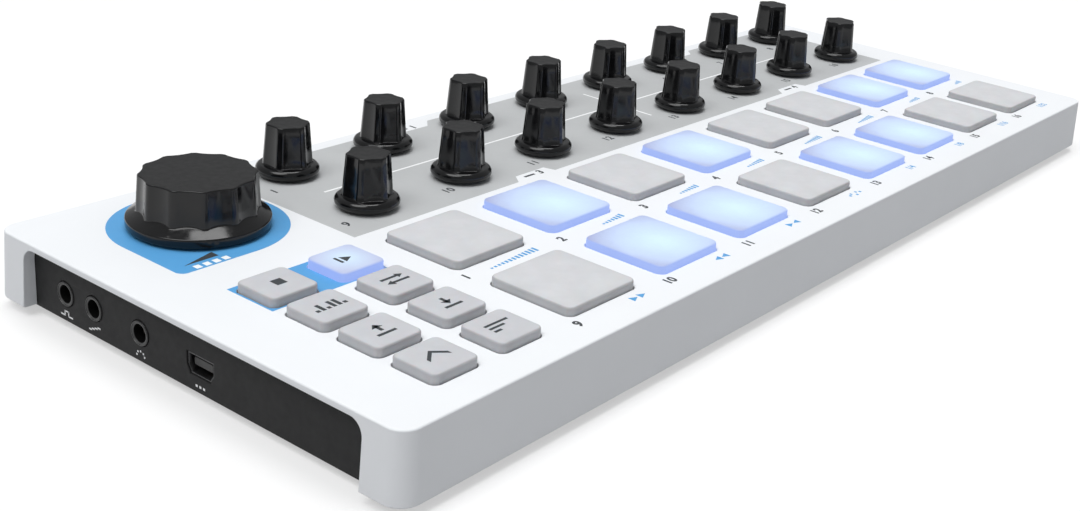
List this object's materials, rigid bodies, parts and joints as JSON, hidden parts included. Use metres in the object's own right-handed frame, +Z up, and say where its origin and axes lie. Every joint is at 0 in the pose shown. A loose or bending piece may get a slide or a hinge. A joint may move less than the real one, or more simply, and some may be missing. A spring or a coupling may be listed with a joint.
{
  "type": "step sequencer",
  "caption": "Low white desktop step sequencer with endless knobs, pressure pads that light up, rubber buttons and a recessed panel of sockets at its left end.",
  "frame": {"origin": "on the surface the object stands on, under the middle of the case", "axes": "+X along the case to the right as its user sees it, +Y to the back, +Z up"},
  "size_m": [0.254, 0.0992, 0.0249],
  "materials": {
    "case_plastic": "satin",
    "base_plastic": "matt",
    "panel_plastic": "matt",
    "circuit_board": "satin",
    "brass_spacer": "bare",
    "black_plastic": "matt",
    "socket_plastic": "gloss",
    "bare_steel": "bare",
    "lamp_resin": "gloss",
    "foot_rubber": "matt",
    "knob_plastic": "satin",
    "pad_silicone": "matt",
    "button_silicone": "matt"
  },
  "bodies": {
    "chassis": {"top_case": "case_plastic", "base_plate": "base_plastic", "jack_panel": "panel_plastic", "main_board": "circuit_board", "pad_board": "circuit_board", "board_spacers": "brass_spacer", "board_header": "black_plastic", "board_chips": "black_plastic", "encoder_bodies": "bare_steel", "level_encoder_body": "bare_steel", "gate_jack": "socket_plastic", "control_jack": "socket_plastic", "note_jack": "socket_plastic", "usb_socket": "bare_steel", "pad_sensor_sheet": "black_plastic", "pad_lamps": "lamp_resin", "button_switches": "bare_steel", "rubber_feet": "foot_rubber", "case_screws": "bare_steel"},
    "level_knob": {"level_knob": "knob_plastic"},
    "knob_1": {"knob_1": "knob_plastic"},
    "knob_2": {"knob_2": "knob_plastic"},
    "knob_3": {"knob_3": "knob_plastic"},
    "knob_4": {"knob_4": "knob_plastic"},
    "knob_5": {"knob_5": "knob_plastic"},
    "knob_6": {"knob_6": "knob_plastic"},
    "knob_7": {"knob_7": "knob_plastic"},
    "knob_8": {"knob_8": "knob_plastic"},
    "knob_9": {"knob_9": "knob_plastic"},
    "knob_10": {"knob_10": "knob_plastic"},
    "knob_11": {"knob_11": "knob_plastic"},
    "knob_12": {"knob_12": "knob_plastic"},
    "knob_13": {"knob_13": "knob_plastic"},
    "knob_14": {"knob_14": "knob_plastic"},
    "knob_15": {"knob_15": "knob_plastic"},
    "knob_16": {"knob_16": "knob_plastic"},
    "pad_1": {"pad_1": "pad_silicone"},
    "pad_2": {"pad_2": "pad_silicone"},
    "pad_3": {"pad_3": "pad_silicone"},
    "pad_4": {"pad_4": "pad_silicone"},
    "pad_5": {"pad_5": "pad_silicone"},
    "pad_6": {"pad_6": "pad_silicone"},
    "pad_7": {"pad_7": "pad_silicone"},
    "pad_8": {"pad_8": "pad_silicone"},
    "pad_9": {"pad_9": "pad_silicone"},
    "pad_10": {"pad_10": "pad_silicone"},
    "pad_11": {"pad_11": "pad_silicone"},
    "pad_12": {"pad_12": "pad_silicone"},
    "pad_13": {"pad_13": "pad_silicone"},
    "pad_14": {"pad_14": "pad_silicone"},
    "pad_15": {"pad_15": "pad_silicone"},
    "pad_16": {"pad_16": "pad_silicone"},
    "stop_button": {"stop_button": "button_silicone"},
    "play_button": {"play_button": "button_silicone"},
    "sequence_button": {"sequence_button": "button_silicone"},
    "sync_button": {"sync_button": "button_silicone"},
    "recall_button": {"recall_button": "button_silicone"},
    "store_button": {"store_button": "button_silicone"},
    "shift_button": {"shift_button": "button_silicone"},
    "channel_button": {"channel_button": "button_silicone"}
  },
  "joints": [
    {"name": "level_turn", "type": "hinge", "parent": "chassis", "child": "level_knob", "pos_m": [-0.10055, 0.0284, 0.01455], "axis": [0, 0, 1], "continuous": true},
    {"name": "knob_1_turn", "type": "hinge", "parent": "chassis", "child": "knob_1", "pos_m": [-0.0723, 0.0383, 0.01455], "axis": [0, 0, 1], "continuous": true},
    {"name": "knob_2_turn", "type": "hinge", "parent": "chassis", "child": "knob_2", "pos_m": [-0.04695, 0.0383, 0.01455], "axis": [0, 0, 1], "continuous": true},
    {"name": "knob_3_turn", "type": "hinge", "parent": "chassis", "child": "knob_3", "pos_m": [-0.0216, 0.0383, 0.01455], "axis": [0, 0, 1], "continuous": true},
    {"name": "knob_4_turn", "type": "hinge", "parent": "chassis", "child": "knob_4", "pos_m": [0.00375, 0.0383, 0.01455], "axis": [0, 0, 1], "continuous": true},
    {"name": "knob_5_turn", "type": "hinge", "parent": "chassis", "child": "knob_5", "pos_m": [0.0291, 0.0383, 0.01455], "axis": [0, 0, 1], "continuous": true},
    {"name": "knob_6_turn", "type": "hinge", "parent": "chassis", "child": "knob_6", "pos_m": [0.05445, 0.0383, 0.01455], "axis": [0, 0, 1], "continuous": true},
    {"name": "knob_7_turn", "type": "hinge", "parent": "chassis", "child": "knob_7", "pos_m": [0.0798, 0.0383, 0.01455], "axis": [0, 0, 1], "continuous": true},
    {"name": "knob_8_turn", "type": "hinge", "parent": "chassis", "child": "knob_8", "pos_m": [0.10515, 0.0383, 0.01455], "axis": [0, 0, 1], "continuous": true},
    {"name": "knob_9_turn", "type": "hinge", "parent": "chassis", "child": "knob_9", "pos_m": [-0.0723, 0.01596, 0.01455], "axis": [0, 0, 1], "continuous": true},
    {"name": "knob_10_turn", "type": "hinge", "parent": "chassis", "child": "knob_10", "pos_m": [-0.04695, 0.01596, 0.01455], "axis": [0, 0, 1], "continuous": true},
    {"name": "knob_11_turn", "type": "hinge", "parent": "chassis", "child": "knob_11", "pos_m": [-0.0216, 0.01596, 0.01455], "axis": [0, 0, 1], "continuous": true},
    {"name": "knob_12_turn", "type": "hinge", "parent": "chassis", "child": "knob_12", "pos_m": [0.00375, 0.01596, 0.01455], "axis": [0, 0, 1], "continuous": true},
    {"name": "knob_13_turn", "type": "hinge", "parent": "chassis", "child": "knob_13", "pos_m": [0.0291, 0.01596, 0.01455], "axis": [0, 0, 1], "continuous": true},
    {"name": "knob_14_turn", "type": "hinge", "parent": "chassis", "child": "knob_14", "pos_m": [0.05445, 0.01596, 0.01455], "axis": [0, 0, 1], "continuous": true},
    {"name": "knob_15_turn", "type": "hinge", "parent": "chassis", "child": "knob_15", "pos_m": [0.0798, 0.01596, 0.01455], "axis": [0, 0, 1], "continuous": true},
    {"name": "knob_16_turn", "type": "hinge", "parent": "chassis", "child": "knob_16", "pos_m": [0.10515, 0.01596, 0.01455], "axis": [0, 0, 1], "continuous": true},
    {"name": "pad_1_press", "type": "slide", "parent": "chassis", "child": "pad_1", "axis": [0, 0, -1], "range_m": [0, 0.0008], "stiffness_N_per_m": 2000, "springref_m": -0.0002},
    {"name": "pad_2_press", "type": "slide", "parent": "chassis", "child": "pad_2", "axis": [0, 0, -1], "range_m": [0, 0.0008], "stiffness_N_per_m": 2000, "springref_m": -0.0002},
    {"name": "pad_3_press", "type": "slide", "parent": "chassis", "child": "pad_3", "axis": [0, 0, -1], "range_m": [0, 0.0008], "stiffness_N_per_m": 2000, "springref_m": -0.0002},
    {"name": "pad_4_press", "type": "slide", "parent": "chassis", "child": "pad_4", "axis": [0, 0, -1], "range_m": [0, 0.0008], "stiffness_N_per_m": 2000, "springref_m": -0.0002},
    {"name": "pad_5_press", "type": "slide", "parent": "chassis", "child": "pad_5", "axis": [0, 0, -1], "range_m": [0, 0.0008], "stiffness_N_per_m": 2000, "springref_m": -0.0002},
    {"name": "pad_6_press", "type": "slide", "parent": "chassis", "child": "pad_6", "axis": [0, 0, -1], "range_m": [0, 0.0008], "stiffness_N_per_m": 2000, "springref_m": -0.0002},
    {"name": "pad_7_press", "type": "slide", "parent": "chassis", "child": "pad_7", "axis": [0, 0, -1], "range_m": [0, 0.0008], "stiffness_N_per_m": 2000, "springref_m": -0.0002},
    {"name": "pad_8_press", "type": "slide", "parent": "chassis", "child": "pad_8", "axis": [0, 0, -1], "range_m": [0, 0.0008], "stiffness_N_per_m": 2000, "springref_m": -0.0002},
    {"name": "pad_9_press", "type": "slide", "parent": "chassis", "child": "pad_9", "axis": [0, 0, -1], "range_m": [0, 0.0008], "stiffness_N_per_m": 2000, "springref_m": -0.0002},
    {"name": "pad_10_press", "type": "slide", "parent": "chassis", "child": "pad_10", "axis": [0, 0, -1], "range_m": [0, 0.0008], "stiffness_N_per_m": 2000, "springref_m": -0.0002},
    {"name": "pad_11_press", "type": "slide", "parent": "chassis", "child": "pad_11", "axis": [0, 0, -1], "range_m": [0, 0.0008], "stiffness_N_per_m": 2000, "springref_m": -0.0002},
    {"name": "pad_12_press", "type": "slide", "parent": "chassis", "child": "pad_12", "axis": [0, 0, -1], "range_m": [0, 0.0008], "stiffness_N_per_m": 2000, "springref_m": -0.0002},
    {"name": "pad_13_press", "type": "slide", "parent": "chassis", "child": "pad_13", "axis": [0, 0, -1], "range_m": [0, 0.0008], "stiffness_N_per_m": 2000, "springref_m": -0.0002},
    {"name": "pad_14_press", "type": "slide", "parent": "chassis", "child": "pad_14", "axis": [0, 0, -1], "range_m": [0, 0.0008], "stiffness_N_per_m": 2000, "springref_m": -0.0002},
    {"name": "pad_15_press", "type": "slide", "parent": "chassis", "child": "pad_15", "axis": [0, 0, -1], "range_m": [0, 0.0008], "stiffness_N_per_m": 2000, "springref_m": -0.0002},
    {"name": "pad_16_press", "type": "slide", "parent": "chassis", "child": "pad_16", "axis": [0, 0, -1], "range_m": [0, 0.0008], "stiffness_N_per_m": 2000, "springref_m": -0.0002},
    {"name": "stop_button_press", "type": "slide", "parent": "chassis", "child": "stop_button", "axis": [0, 0, -1], "range_m": [0, 0.0008], "stiffness_N_per_m": 2000, "springref_m": -0.0002},
    {"name": "play_button_press", "type": "slide", "parent": "chassis", "child": "play_button", "axis": [0, 0, -1], "range_m": [0, 0.0008], "stiffness_N_per_m": 2000, "springref_m": -0.0002},
    {"name": "sequence_button_press", "type": "slide", "parent": "chassis", "child": "sequence_button", "axis": [0, 0, -1], "range_m": [0, 0.0008], "stiffness_N_per_m": 2000, "springref_m": -0.0002},
    {"name": "sync_button_press", "type": "slide", "parent": "chassis", "child": "sync_button", "axis": [0, 0, -1], "range_m": [0, 0.0008], "stiffness_N_per_m": 2000, "springref_m": -0.0002},
    {"name": "recall_button_press", "type": "slide", "parent": "chassis", "child": "recall_button", "axis": [0, 0, -1], "range_m": [0, 0.0008], "stiffness_N_per_m": 2000, "springref_m": -0.0002},
    {"name": "store_button_press", "type": "slide", "parent": "chassis", "child": "store_button", "axis": [0, 0, -1], "range_m": [0, 0.0008], "stiffness_N_per_m": 2000, "springref_m": -0.0002},
    {"name": "shift_button_press", "type": "slide", "parent": "chassis", "child": "shift_button", "axis": [0, 0, -1], "range_m": [0, 0.0008], "stiffness_N_per_m": 2000, "springref_m": -0.0002},
    {"name": "channel_button_press", "type": "slide", "parent": "chassis", "child": "channel_button", "axis": [0, 0, -1], "range_m": [0, 0.0008], "stiffness_N_per_m": 2000, "springref_m": -0.0002}
  ]
}
